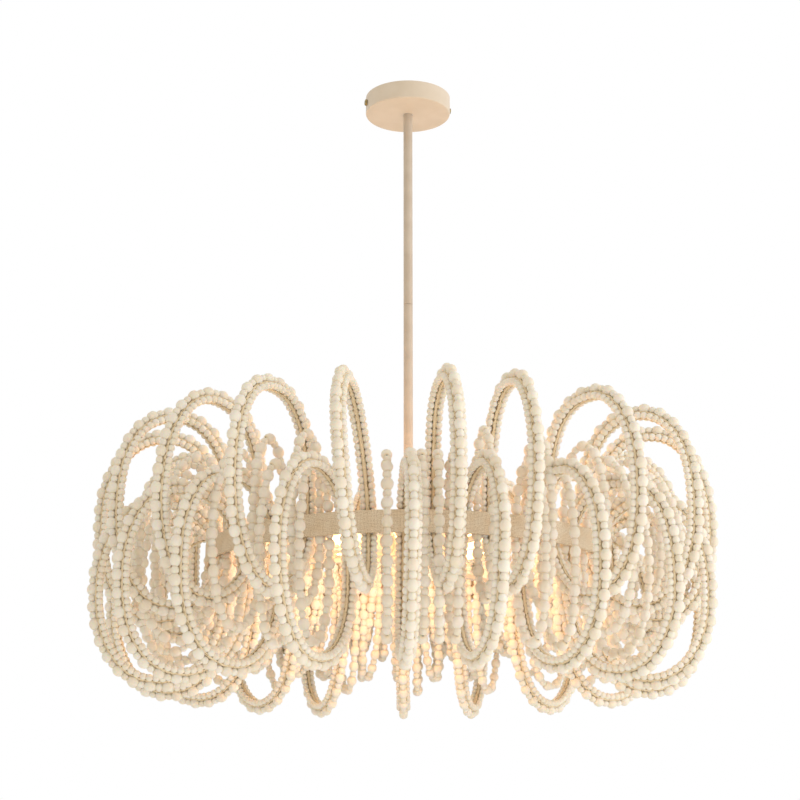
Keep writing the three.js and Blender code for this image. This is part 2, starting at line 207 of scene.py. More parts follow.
floor_mesh = bpy.data.meshes.new("floor")
reach = 14
floor_level = -3.8
floor_corners = ((-reach, -reach), (reach, -reach), (reach, reach), (-reach, reach))
floor_mesh.from_pydata([(x, y, floor_level) for x, y in floor_corners], [], [(0, 1, 2, 3)])
floor = bpy.data.objects.new("floor", floor_mesh)
scene.collection.objects.link(floor)
pale, net, shader = finish("pale_floor")
feed(net, shader, Base_Color=(0.96, 0.955, 0.94, 1), Roughness=0.9)
floor_whitening = 0.55
shine = net.add("ShaderNodeEmission", None, {"Color": (1, 1, 1, 1), "Strength": 1.0})
lit = Value(net, shader.outputs["BSDF"])
whiter = shows_to_eye(net) * floor_whitening
surface = net.add("ShaderNodeMixShader", None, {0: whiter, 1: lit, 2: shine})
net.tree.links.new(surface.socket, net.tree.nodes["Material Output"].inputs["Surface"])
floor_mesh.materials.append(pale)


# Mounting bracket: a slotted cross bar of zinc plated steel, hidden by the canopy, that two
# screws hold to the ceiling box. Its boss carries the rod.
zinc, net, shader = finish("zinc_plate")
place = net.add("ShaderNodeTexCoord").out("Object")
spangle = net.add("ShaderNodeTexVoronoi", None, {"Vector": place, "Scale": 220.0})
cloud = net.add("ShaderNodeTexNoise", None, {"Vector": place, "Scale": 60.0, "Detail": 6.0})
feed(
    net,
    shader,
    Base_Color=net.mix(cloud, (0.5, 0.51, 0.5, 1), (0.68, 0.68, 0.66, 1)),
    Metallic=0.9,
    Roughness=0.32 + 0.2 * spangle,
    Normal=bump(net, cloud, 0.2, 0.0003),
)
for node in ("mounting_bracket", "rod_coupling"):
    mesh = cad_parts[node].data
    mesh.materials.clear()
    mesh.materials.append(zinc)


def keep(name, mesh, body, replaced=()):
    """A finished piece from its mesh, riding on its body in place of the CAD nodes."""
    for polygon in mesh.polygons:
        polygon.use_smooth = True
    piece = bpy.data.objects.new(name, mesh)
    scene.collection.objects.link(piece)
    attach(piece, body)
    if replaced:
        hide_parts(*replaced)
    return piece


def turned(name, profile, sides, place=None, sharp=35):
    """A closed or axis to axis profile of (radius, height) pairs turned about Z, with its
    hard edges marked sharp, then put in its place."""
    same_place = 1e-7
    shape = bmesh.new()
    rings = []
    for radius, height in profile:
        if radius < same_place:
            rings.append([shape.verts.new((0, 0, height))])
            continue
        ring = []
        for step in range(sides):
            angle = 2 * math.pi * step / sides
            ring.append(shape.verts.new((radius * math.cos(angle), radius * math.sin(angle), height)))
        rings.append(ring)
    for low, high in zip(rings, rings[1:]):
        for step in range(sides):
            after = (step + 1) % sides
            corners = [low[step % len(low)], low[after % len(low)]]
            corners += [high[after % len(high)], high[step % len(high)]]
            kept = [corner for index, corner in enumerate(corners) if corner not in corners[:index]]
            if len(kept) > 2:
                shape.faces.new(kept)
    bmesh.ops.remove_doubles(shape, verts=shape.verts, dist=same_place)
    bmesh.ops.recalc_face_normals(shape, faces=shape.faces)
    for edge in shape.edges:
        if len(edge.link_faces) == 2 and edge.calc_face_angle(0) > math.radians(sharp):
            edge.smooth = False
    if place is not None:
        bmesh.ops.transform(shape, matrix=place, verts=shape.verts)
    mesh = bpy.data.meshes.new(name)
    shape.to_mesh(mesh)
    shape.free()
    return mesh


def rounded(profile, radius, steps):
    """The profile with each of its corners between the two ends rounded."""
    longest_share = 0.45
    result = [profile[0]]
    for before, corner, after in zip(profile, profile[1:], profile[2:]):
        here = Vector(corner)
        back = Vector(before) - here
        ahead = Vector(after) - here
        cut = min(radius, back.length * longest_share, ahead.length * longest_share)
        start = here + back.normalized() * cut
        end = here + ahead.normalized() * cut
        for step in range(steps + 1):
            t = step / steps
            point = start * (1 - t) ** 2 + here * 2 * t * (1 - t) + end * t ** 2
            result.append((point.x, point.y))
    result.append(profile[-1])
    return result


# Canopy: a spun steel pan against the ceiling, sprayed a satin cream. Its wall has a hole at
# each end of the bracket for a side screw, and its floor a hole for the rod.
cream, net, shader = finish("cream_paint")
place = net.add("ShaderNodeTexCoord").out("Object")
peel = net.add("ShaderNodeTexNoise", None, {"Vector": place, "Scale": 900.0, "Detail": 3.0})
cloud = net.add("ShaderNodeTexNoise", None, {"Vector": place, "Scale": 22.0, "Detail": 4.0})
rub = net.add(
    "ShaderNodeTexNoise", None, {"Vector": place, "Scale": 70.0, "Detail": 8.0, "Roughness": 0.7}
)
paint = net.mix(cloud.ramp(0.3, 0.7), (0.71, 0.61, 0.495, 1), (0.77, 0.675, 0.57, 1))
feed(
    net,
    shader,
    Base_Color=net.mix(rub.ramp(0.68, 0.8) * 0.35, paint, (0.5, 0.38, 0.26, 1)),
    Roughness=0.42 + 0.16 * cloud,
    Normal=bump(net, peel, 0.12, 0.0002),
)
pan_radius = 0.0665
pan_height = 0.029
pan_wall = 0.0015
pan_hole = 0.0078
pan_edge = 0.0025
edge_steps = 8
ceiling_gap = 0.0005
pan = [(pan_hole, -pan_height)]
for step in range(edge_steps + 1):
    angle = math.radians(90 * step / edge_steps)
    pan.append(
        (
            pan_radius - pan_edge + pan_edge * math.sin(angle),
            -pan_height + pan_edge - pan_edge * math.cos(angle),
        )
    )
pan += [
    (pan_radius, -ceiling_gap),
    (pan_radius - pan_wall, -ceiling_gap),
    (pan_radius - pan_wall, -pan_height + pan_edge),
    (pan_radius - pan_edge, -pan_height + pan_wall),
    (pan_hole, -pan_height + pan_wall),
    (pan_hole, -pan_height),
]
pan_mesh = turned("canopy_pan", pan, 128)
pan_mesh.materials.append(cream)
keep("canopy_pan", pan_mesh, "canopy", ["canopy"])

# Side screws: aged brass thumb screws with a rounded knurled head, one at each end of the
# bracket through the canopy's wall. Backed out, they let the canopy slide down the rod.
brass, net, shader = finish("aged_brass")
place = net.add("ShaderNodeTexCoord").out("Object")
stain = net.add("ShaderNodeTexNoise", None, {"Vector": place, "Scale": 400.0, "Detail": 6.0})
feed(
    net,
    shader,
    Base_Color=net.mix(stain.ramp(0.35, 0.7), (0.42, 0.31, 0.12, 1), (0.2, 0.15, 0.07, 1)),
    Metallic=0.9,
    Roughness=0.3 + 0.3 * stain,
    Normal=bump(net, stain, 0.2, 0.0001),
)
screw_turn = 14
screw_level = -0.0145
screw_end = 0.0573
screw_radius = 0.002
head_start = 0.0668
head_radius = 0.005
screw_profile = [
    (0, screw_end),
    (0.0016, screw_end),
    (screw_radius, screw_end + 0.0004),
    (screw_radius, head_start),
    (0.0046, head_start),
    (head_radius, head_start + 0.0004),
    (head_radius, head_start + 0.0022),
    (0.0047, head_start + 0.0027),
    (0.0038, head_start + 0.0031),
    (0, head_start + 0.0032),
]
knurl_sides = 48
knurl_share = 0.94
knurl_inside = 0.0045
knurl_height = 0.0028


def lying(level, turn):
    """Lays a profile's upright axis down at a level, pointing outward at a turn about Z."""
    return (
        Matrix.Translation((0, 0, level))
        @ Matrix.Rotation(math.radians(turn), 4, "Z")
        @ Matrix.Rotation(math.radians(90), 4, "Y")
    )


for side, turn in (("right", screw_turn), ("left", screw_turn + 180)):
    screw_mesh = turned("side_screw", screw_profile, knurl_sides)
    shape = bmesh.new()
    shape.from_mesh(screw_mesh)
    for vertex in shape.verts:
        around = math.hypot(vertex.co.x, vertex.co.y)
        if around > knurl_inside and head_start < vertex.co.z < head_start + knurl_height:
            step = round(math.atan2(vertex.co.y, vertex.co.x) / (2 * math.pi / knurl_sides))
            if step % 2:
                vertex.co.x *= knurl_share
                vertex.co.y *= knurl_share
    bmesh.ops.transform(shape, matrix=lying(screw_level, turn), verts=shape.verts)
    shape.to_mesh(screw_mesh)
    shape.free()
    screw_mesh.materials.append(brass)
    name = "side_screw_" + side
    keep(name + "_turned", screw_mesh, name, [name])

# Down rod: two lengths of steel tube, screwed together end to end on a hidden coupling and
# sprayed a shade deeper than the canopy. A fine line shows where they meet.
rod_paint, net, shader = finish("rod_paint")
place = net.add("ShaderNodeTexCoord").out("Object")
peel = net.add("ShaderNodeTexNoise", None, {"Vector": place, "Scale": 900.0, "Detail": 3.0})
cloud = net.add("ShaderNodeTexNoise", None, {"Vector": place, "Scale": 35.0, "Detail": 4.0})
feed(
    net,
    shader,
    Base_Color=net.mix(cloud.ramp(0.3, 0.7), (0.56, 0.475, 0.39, 1), (0.62, 0.54, 0.455, 1)),
    Roughness=0.42 + 0.16 * cloud,
    Normal=bump(net, peel, 0.12, 0.0002),
)
rod_radius = 0.007
rod_bore = 0.0055
rod_ease = 0.0004
rod_lengths = {"rod_upper": (-0.0033, -0.3448), "rod_lower": (-0.3451, -0.7171)}
for node, (top, bottom) in rod_lengths.items():
    wall = [
        (rod_bore, bottom),
        (rod_radius - rod_ease, bottom),
        (rod_radius, bottom + rod_ease),
        (rod_radius, top - rod_ease),
        (rod_radius - rod_ease, top),
        (rod_bore, top),
        (rod_bore, bottom),
    ]
    rod_mesh = turned(node + "_tube", wall, 48)
    rod_mesh.materials.append(rod_paint)
    keep(node + "_tube", rod_mesh, "fixture", [node])

# Hub, spider and cap: cast and cut steel under the beads, in the same paint. The spider's
# three arms reach the band, and the domed cap holds spider and hub together.
for node in ("lamp_hub", "spider_arms", "hub_cap"):
    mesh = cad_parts[node].data
    mesh.materials.clear()
    mesh.materials.append(cream)

# Lamp holders: moulded cream sleeves screwed to the hub's six flats, each bored for the base
# of a bulb. They lie level and point outward.
sleeve, net, shader = finish("moulded_sleeve")
place = net.add("ShaderNodeTexCoord").out("Object")
grain = net.add("ShaderNodeTexNoise", None, {"Vector": place, "Scale": 1400.0, "Detail": 2.0})
tone = net.add("ShaderNodeTexNoise", None, {"Vector": place, "Scale": 30.0, "Detail": 3.0})
feed(
    net,
    shader,
    Base_Color=net.mix(tone, (0.74, 0.64, 0.47, 1), (0.84, 0.75, 0.6, 1)),
    Roughness=0.5 + 0.1 * grain,
    Normal=bump(net, grain, 0.08, 0.0002),
)
lamp_level = -0.7201
lamp_turns = [-33 + 60 * lamp_number for lamp_number in range(6)]
holder_start = 0.0303
holder_end = 0.0703
holder_radius = 0.013
socket_radius = 0.0075
socket_floor = 0.0443
holder_ease = 0.0008
holder_profile = rounded(
    [
        (0, holder_start),
        (holder_radius, holder_start),
        (holder_radius, holder_end),
        (socket_radius, holder_end),
        (socket_radius, socket_floor),
        (0, socket_floor),
    ],
    holder_ease,
    3,
)
for number, turn in enumerate(lamp_turns, 1):
    holder_mesh = turned("holder", holder_profile, 48, lying(lamp_level, turn))
    holder_mesh.materials.append(sleeve)
    node = f"lamp_holder_{number}"
    keep(node + "_sleeve", holder_mesh, "fixture", [node])

# Bulbs: candle shaped, of clear glass with a wall, on a screwed brass base that sits in the
# holder. Four thin filaments glow inside, and the glass casts no shadow of their light.
clear, net, shader = finish("clear_glass")
place = net.add("ShaderNodeTexCoord").out("Object")
haze = net.add("ShaderNodeTexNoise", None, {"Vector": place, "Scale": 90.0, "Detail": 3.0})
feed(
    net,
    shader,
    Base_Color=net.mix(haze, (1, 0.93, 0.82, 1), (1, 0.97, 0.9, 1)),
    Roughness=0.04 + 0.08 * haze,
    Transmission_Weight=1.0,
    IOR=1.45,
)
glow, net, shader = finish("lit_filament")
place = net.add("ShaderNodeTexCoord").out("Object")
coil = net.add("ShaderNodeTexNoise", None, {"Vector": place, "Scale": 900.0, "Detail": 2.0})
feed(
    net,
    shader,
    Base_Color=(0.9, 0.7, 0.4, 1),
    Roughness=0.5,
    Emission_Color=net.mix(coil, (1, 0.72, 0.36, 1), (1, 0.84, 0.56, 1)),
    Emission_Strength=6.0,
)
base_brass, net, shader = finish("bulb_base")
place = net.add("ShaderNodeTexCoord").out("Object")
scuff = net.add("ShaderNodeTexNoise", None, {"Vector": place, "Scale": 350.0, "Detail": 5.0})
feed(
    net,
    shader,
    Base_Color=net.mix(scuff, (0.6, 0.46, 0.2, 1), (0.78, 0.66, 0.4, 1)),
    Metallic=0.95,
    Roughness=0.25 + 0.2 * scuff,
)
neck = 0.0706
base_end = neck - 0.024
thread_start = neck - 0.0205
thread_pitch = 0.0034
thread_root = 0.0056
thread_crest = 0.0062
base_profile = [(0, base_end), (0.003, base_end), (0.0035, neck - 0.0225), (0.0052, neck - 0.021)]
for turn_number in range(5):
    start = thread_start + turn_number * thread_pitch
    base_profile += [(thread_root, start), (thread_crest, start + 0.0011), (thread_root, start + 0.0022)]
base_profile += [(0.0058, neck - 0.003), (thread_crest, neck - 0.001), (thread_crest, neck), (0, neck)]
glass_wall = 0.0008
glass_radius = 0.0172
glass_length = 0.088
glass_neck = 0.0085
glass_shares = [
    (0.05, 0.56),
    (0.1, 0.68),
    (0.16, 0.82),
    (0.24, 0.945),
    (0.32, 1),
    (0.42, 0.985),
    (0.52, 0.92),
    (0.62, 0.8),
    (0.72, 0.64),
    (0.81, 0.47),
    (0.89, 0.31),
    (0.95, 0.19),
    (0.985, 0.1),
]
glass_tip = neck + glass_length
outer_glass = [(glass_neck, neck + 0.0001)]
outer_glass += [(glass_radius * wide, neck + glass_length * high) for high, wide in glass_shares]
inner_glass = [(radius - glass_wall, height) for radius, height in outer_glass]
glass_tips = [(0, glass_tip), (0, glass_tip - glass_wall)]
glass_profile = outer_glass + glass_tips + inner_glass[::-1] + outer_glass[:1]
strip_low = 0.022
strip_high = 0.058
strip_radius = 0.0007
strip_ease = 0.0005
strip_profile = rounded(
    [(0, strip_low), (strip_radius, strip_low), (strip_radius, strip_high), (0, strip_high)],
    strip_ease,
    2,
)
strip_lean = Matrix.Translation((0.0045, 0, neck)) @ Matrix.Rotation(math.radians(-4), 4, "Y")
strip_turns = [90 * step for step in range(4)]
light_height = neck + 0.03
light_power = 0.56
light_color = (1, 0.49, 0.19)
light_radius = 0.05
for number, turn in enumerate(lamp_turns, 1):
    body = f"bulb_{number}"
    place = lying(lamp_level, turn)
    glass_mesh = turned("glass", glass_profile, 40, place, sharp=50)
    glass_mesh.materials.append(clear)
    keep(body + "_glass", glass_mesh, body, [body]).visible_shadow = False
    shape = bmesh.new()
    for quarter in strip_turns:
        strip_place = place @ Matrix.Rotation(math.radians(quarter), 4, "Z") @ strip_lean
        strip = turned("strip", strip_profile, 8, strip_place)
        shape.from_mesh(strip)
        bpy.data.meshes.remove(strip)
    filament_mesh = bpy.data.meshes.new("filament")
    shape.to_mesh(filament_mesh)
    shape.free()
    filament_mesh.materials.append(glow)
    keep(body + "_filament", filament_mesh, body).visible_shadow = False
    base_mesh = turned("base", base_profile, 32, place, sharp=50)
    base_mesh.materials.append(base_brass)
    keep(body + "_base", base_mesh, body)
    light = bpy.data.lights.new(body + "_light", "POINT")
    light.energy = light_power
    light.color = light_color
    light.shadow_soft_size = light_radius
    light_object = bpy.data.objects.new(body + "_light", light)
    light_object.visible_camera = False
    light_object.location = place @ Vector((0, 0, light_height))
    scene.collection.objects.link(light_object)


# Band: a flat ribbon of fine plant fibre in plain weave, glued as a channel over the outer
# face and the edges of a steel ring.
band_level = -0.7414
ring_inner = 0.293
ring_outer = 0.296
band_half = 0.0135
wrap_inner = 0.2963
wrap_outer = 0.2981
wrap_edge = 0.0153
wrap_lip = 0.2946
wrap_gap = 0.0003
wrap_ease = 0.0007
woven, net, shader = finish("woven_fibre")
weave_map = net.add("ShaderNodeUVMap", {"uv_map": "weave"})
split = net.add("ShaderNodeSeparateXYZ", None, {0: weave_map})
around = split.out("X")
across = split.out("Y")
cell = 0.0019
drift = net.add("ShaderNodeTexNoise", None, {"Vector": weave_map, "Scale": 330.0, "Detail": 2.0}) * 4.2
warp = (around * (math.pi / cell) + drift).sine()
weft = (across * (math.pi / cell) + drift).sine()
check = warp * weft
over = check.ramp(-0.25, 0.25)
ridge = abs(warp) * (1 - over) + abs(weft) * over
fibre = net.add("ShaderNodeTexNoise", None, {"Vector": weave_map, "Scale": 2600.0, "Detail": 3.0})
patch = net.add("ShaderNodeTexNoise", None, {"Vector": weave_map, "Scale": 60.0, "Detail": 4.0})
tan = net.mix(patch.ramp(0.3, 0.7), (0.93, 0.8, 0.62, 1), (0.98, 0.9, 0.76, 1))
tan = net.mix(fibre.ramp(0.3, 0.75) * 0.4, tan, (0.88, 0.79, 0.64, 1))
# The dark brown where the threads dip and part is painted shade in the hollows of the weave.
feed(
    net,
    shader,
    Base_Color=net.mix(ridge.ramp(0.1, 0.7), (0.42, 0.29, 0.15, 1), tan),
    Roughness=0.86 + 0.1 * fibre,
    Normal=bump(net, ridge * 0.8 + fibre * 0.3, 0.6, 0.0006),
)


def banded(name, section, sides):
    """A closed section of (radius, height) pairs round the band, with a woven UV map in
    metres along the ring and across the ribbon."""
    mesh = turned(name, [(radius, band_level + height) for radius, height in section], sides)
    uv = mesh.uv_layers.new(name="weave")
    for polygon in mesh.polygons:
        middle = math.atan2(polygon.center.y, polygon.center.x)
        for corner in polygon.loop_indices:
            at = mesh.vertices[mesh.loops[corner].vertex_index].co
            angle = math.atan2(at.y, at.x)
            if angle - middle > math.pi:
                angle -= 2 * math.pi
            if angle - middle < -math.pi:
                angle += 2 * math.pi
            run = at.z - band_level + wrap_outer - math.hypot(at.x, at.y)
            uv.data[corner].uv = (angle * wrap_outer, run)
    return mesh


wrap_section = rounded(
    [
        (wrap_outer, 0),
        (wrap_outer, wrap_edge),
        (wrap_lip, wrap_edge),
        (wrap_lip, band_half + wrap_gap),
        (wrap_inner, band_half + wrap_gap),
        (wrap_inner, -band_half - wrap_gap),
        (wrap_lip, -band_half - wrap_gap),
        (wrap_lip, -wrap_edge),
        (wrap_outer, -wrap_edge),
        (wrap_outer, 0),
    ],
    wrap_ease,
    3,
)
wrap_mesh = banded("woven_wrap", wrap_section, 240)
wrap_mesh.materials.append(woven)
keep("woven_wrap", wrap_mesh, "fixture", ["band_wrap"])


# Inner hoops: one strand of large and small beads in turn on a stiff wire, welded upright to
# the ring. High and low ones stand outward from it between the big hoops, and deep ones stand
# askew and overlap them, so that the inside looks full.
beads, net, shader = finish("washed_wood")
local = net.add("ShaderNodeAttribute", {"attribute_name": "bead_place"}).out("Vector")
tone = net.add("ShaderNodeAttribute", {"attribute_name": "bead_tone"}).out("Fac")
parts = net.add("ShaderNodeSeparateXYZ", None, {0: local})
side = (parts.out("X") * parts.out("X") + parts.out("Y") * parts.out("Y")) ** 0.5
offset = net.add("ShaderNodeCombineXYZ", None, {0: tone * 37.0, 1: tone * 91.0, 2: tone * 13.0})
own = net.vector("ADD", local, offset)
stretched = net.vector("MULTIPLY", own, (1.0, 6.0, 1.2))
grain = net.add(
    "ShaderNodeTexNoise", None, {"Vector": stretched, "Scale": 2.2, "Detail": 5.0, "Roughness": 0.65}
)
blotch = net.add("ShaderNodeTexNoise", None, {"Vector": own, "Scale": 1.1, "Detail": 3.0})
wash_and_seam_shade = net.mix(tone.ramp(0.1, 0.9), (0.88, 0.81, 0.71, 1), (0.92, 0.875, 0.81, 1))
wash_and_seam_shade = net.mix((tone * 7.3).fraction().ramp(0.6, 0.95) * 0.4, wash_and_seam_shade, (0.87, 0.785, 0.655, 1))
wash_and_seam_shade = net.mix(blotch.ramp(0.35, 0.7) * 0.3, wash_and_seam_shade, (0.93, 0.89, 0.81, 1))
wash_and_seam_shade = net.mix(grain.ramp(0.58, 0.76) * 0.15, wash_and_seam_shade, (0.68, 0.55, 0.37, 1))
# Towards each end of a bead, where it meets the next, the next two mixes turn the colour warm tan and then
# brown: partly raw wood at the bore, partly painted shade of the seam between beads.
wash_and_seam_shade = net.mix(side.ramp(0.62, 0.42) * 0.5, wash_and_seam_shade, (0.9, 0.76, 0.53, 1))
wash_and_seam_shade = net.mix(side.ramp(0.42, 0.3) * 0.3, wash_and_seam_shade, (0.55, 0.4, 0.22, 1))
# The near black disc at each end of a bead is painted shadow standing in for its bore hole.
feed(
    net,
    shader,
    Base_Color=net.mix(side.ramp(0.2, 0.12), wash_and_seam_shade, (0.02, 0.014, 0.01, 1)),
    Roughness=0.62 + 0.2 * grain,
    Normal=bump(net, grain, 0.15, 0.0004),
    Subsurface_Weight=0.35,
    Subsurface_Radius=(1, 0.72, 0.45),
    Subsurface_Scale=0.006,
)
cord, net, shader = finish("pale_cord")
place = net.add("ShaderNodeTexCoord").out("Object")
twist = net.add("ShaderNodeTexNoise", None, {"Vector": place, "Scale": 900.0, "Detail": 2.0})
feed(
    net,
    shader,
    Base_Color=net.mix(twist.ramp(0.35, 0.65), (0.8, 0.67, 0.46, 1), (0.9, 0.78, 0.59, 1)),
    Roughness=0.9,
    Normal=bump(net, twist, 0.4, 0.0004),
)
thread, net, shader = finish("waxed_thread")
place = net.add("ShaderNodeTexCoord").out("Object")
stitch = net.add("ShaderNodeTexNoise", None, {"Vector": place, "Scale": 210.0, "Detail": 1.0})
feed(
    net,
    shader,
    Base_Color=net.mix(stitch.ramp(0.36, 0.42), (0.36, 0.25, 0.12, 1), (0.84, 0.71, 0.5, 1)),
    Roughness=0.8,
)


def new_tree(name, sizes):
    """An empty geometry tree with its named sizes as inputs: the net, and the inputs by name."""
    tree = bpy.data.node_groups.new(name, "GeometryNodeTree")
    tree.is_modifier = True
    tree.interface.new_socket(name="Geometry", in_out="OUTPUT", socket_type="NodeSocketGeometry")
    for size, value in sizes.items():
        kind = "NodeSocketInt" if isinstance(value, int) else "NodeSocketFloat"
        tree.interface.new_socket(name=size, in_out="INPUT", socket_type=kind).default_value = value
    net = Net(tree)
    first = net.add("NodeGroupInput")
    return net, {size: first.out(size) for size in sizes}


def oval_curve(net, size, power, points):
    """The oval that a hoop's rows follow, in the XZ plane, a little uneven by hand."""
    circle = net.add("GeometryNodeCurvePrimitiveCircle", None, {"Resolution": points, "Radius": 1.0})
    place = net.add("ShaderNodeSeparateXYZ", None, {0: net.add("GeometryNodeInputPosition")})
    x, y = place.out("X"), place.out("Y")
    stretch = (abs(x) ** power + abs(y) ** power) ** (-1 / power)
    shifted = net.add("ShaderNodeCombineXYZ", None, {0: x, 1: y, 2: size["Seed"] * 3.7})
    sway = net.add(
        "ShaderNodeTexNoise", {"noise_dimensions": "3D"}, {"Vector": shifted, "Scale": 1.3, "Detail": 1.0}
    )
    wobble = net.vector("SUBTRACT", sway.out("Color"), (0.5, 0.5, 0.5))
    wobble = net.add("ShaderNodeVectorMath", {"operation": "SCALE"}, {0: wobble, "Scale": size["Sway"]})
    oval = net.add(
        "ShaderNodeCombineXYZ",
        None,
        {0: x * stretch * size["Half Width"], 1: 0.0, 2: y * stretch * size["Half Height"]},
    )
    oval = net.vector("ADD", oval, wobble)
    return net.add("GeometryNodeSetPosition", None, {"Geometry": circle, "Position": oval})


def beside(net, curve, outward, sideways):
    """The curve moved outward in its own plane and sideways off it."""
    tangent = net.add("GeometryNodeInputTangent")
    away = net.vector("CROSS_PRODUCT", (0, 1, 0), tangent)
    away = net.add("ShaderNodeVectorMath", {"operation": "NORMALIZE"}, {0: away})
    away = net.add("ShaderNodeVectorMath", {"operation": "SCALE"}, {0: away, "Scale": outward})
    aside = net.add("ShaderNodeCombineXYZ", None, {1: sideways})
    move = net.vector("ADD", away, aside)
    return net.add("GeometryNodeSetPosition", None, {"Geometry": curve, "Offset": move})


def one_bead(net, segments, rings):
    """A turned bead of radius 1 along Z. It keeps its own coordinates as an attribute."""
    ball = net.add("GeometryNodeMeshUVSphere", None, {"Segments": segments, "Rings": rings, "Radius": 1.0})
    ball = net.add("GeometryNodeSetShadeSmooth", None, {"Geometry": ball})
    return net.add(
        "GeometryNodeStoreNamedAttribute",
        {"data_type": "FLOAT_VECTOR", "domain": "POINT"},
        {"Geometry": ball, "Name": "bead_place", "Value": net.add("GeometryNodeInputPosition")},
    )


def chance(net, low, high, seed):
    """A number between low and high, drawn anew for each bead."""
    return net.add(
        "FunctionNodeRandomValue", {"data_type": "FLOAT"}, {2: low, 3: high, "Seed": seed}
    ).out("Value")


def strung(net, curve, count, bead, big, small, seed, long):
    """Beads threaded on a curve, big and small in turn, each turned and sized by chance, and
    a little longer than they are wide, so that their ends meet."""
    resampled = net.add("GeometryNodeResampleCurve", {"mode": "COUNT"}, {"Curve": curve, "Count": count})
    odd = net.add("GeometryNodeInputIndex").odd()
    radius = (big * (1 - odd) + small * odd) * 0.5
    radius = radius * chance(net, 0.965, 1.03, seed)
    tangent = net.add("GeometryNodeInputTangent")
    aligned = net.add("FunctionNodeAlignRotationToVector", {"axis": "Z"}, {"Vector": tangent})
    spin = chance(net, 0.0, 6.283, seed + 5.0)
    spun = net.add("FunctionNodeAxisAngleToRotation", None, {"Axis": (0, 0, 1), "Angle": spin})
    turn = net.add(
        "FunctionNodeRotateRotation",
        {"rotation_space": "LOCAL"},
        {"Rotation": aligned, "Rotate By": spun},
    )
    scale = net.add("ShaderNodeCombineXYZ", None, {0: radius, 1: radius, 2: radius * long})
    placed = net.add(
        "GeometryNodeInstanceOnPoints",
        None,
        {"Points": resampled, "Instance": bead, "Rotation": turn, "Scale": scale},
    )
    return net.add(
        "GeometryNodeStoreNamedAttribute",
        {"data_type": "FLOAT", "domain": "INSTANCE"},
        {"Geometry": placed, "Name": "bead_tone", "Value": chance(net, 0.0, 1.0, seed + 11.0)},
    )


def wire(net, curve, radius, points, sides):
    """A round wire or cord along a curve."""
    resampled = net.add("GeometryNodeResampleCurve", {"mode": "COUNT"}, {"Curve": curve, "Count": points})
    round_section = net.add(
        "GeometryNodeCurvePrimitiveCircle", None, {"Resolution": sides, "Radius": radius}
    )
    tube = net.add("GeometryNodeCurveToMesh", None, {"Curve": resampled, "Profile Curve": round_section})
    return net.add("GeometryNodeSetShadeSmooth", None, {"Geometry": tube})


def finish_tree(net, **strands):
    """Joins the strands of each finish, makes them real and gives them that finish."""
    finishes = {"beads": beads, "cords": cord, "threads": thread}
    dressed = []
    for kind, members in strands.items():
        joined = net.add("GeometryNodeJoinGeometry", None, {0: members})
        real = net.add("GeometryNodeRealizeInstances", None, {0: joined})
        dress = {"Geometry": real, "Material": finishes[kind]}
        dressed.append(net.add("GeometryNodeSetMaterial", None, dress))
    whole = net.add("GeometryNodeJoinGeometry", None, {0: dressed})
    net.add("NodeGroupOutput", None, {"Geometry": whole})


def hoop_mesh(tree, sizes):
    """The mesh that a hoop's tree makes with these sizes."""
    carrier = bpy.data.objects.new("hoop_tree", bpy.data.meshes.new("hoop_tree"))
    scene.collection.objects.link(carrier)
    modifier = carrier.modifiers.new("hoop", "NODES")
    modifier.node_group = tree
    sockets = {s.name: s.identifier for s in tree.interface.items_tree if s.in_out == "INPUT"}
    for size, value in sizes.items():
        modifier[sockets[size]] = value
    evaluated = carrier.evaluated_get(bpy.context.evaluated_depsgraph_get())
    mesh = bpy.data.meshes.new_from_object(evaluated)
    carrier.modifiers.clear()
    bpy.data.objects.remove(carrier)
    return mesh


big_bead = 0.015
small_bead = 0.0096
pair_length = big_bead + small_bead
inner_big_bead = 0.0155
inner_small_bead = 0.0106
inner_bead_long = 1.15
inner_wire = 0.0012
oval_power = 2.2
hand_sway = 0.004
net, size = new_tree(
    "one_row_hoop",
    {"Half Width": 0.029, "Half Height": 0.112, "Sway": hand_sway, "Seed": 1},
)
curve = oval_curve(net, size, oval_power, 128)
pairs = (net.add("GeometryNodeCurveLength", None, {0: curve}) / pair_length).floor()
bead = one_bead(net, 10, 7)
first = size["Seed"] + 100.0
row = strung(net, curve, pairs * 2.0, bead, inner_big_bead, inner_small_bead, first, inner_bead_long)
finish_tree(net, beads=[row], cords=[wire(net, curve, inner_wire, 64, 5)])
inner_tree = net.tree


def seated(mesh, half_width, rise, roll, turn, shift, azimuth):
    """A hoop from its own plane to its seat on the band."""
    angle = math.radians(azimuth - 90)
    place = (
        Matrix.Translation((0, 0, band_level))
        @ Matrix.Rotation(angle, 4, "Z")
        @ Matrix.Translation((ring_inner + shift, 0, 0))
        @ Matrix.Rotation(math.radians(turn), 4, "Z")
        @ Matrix.Rotation(math.radians(roll), 4, "X")
        @ Matrix.Translation((half_width, 0, rise))
    )
    mesh.transform(place)
    return mesh


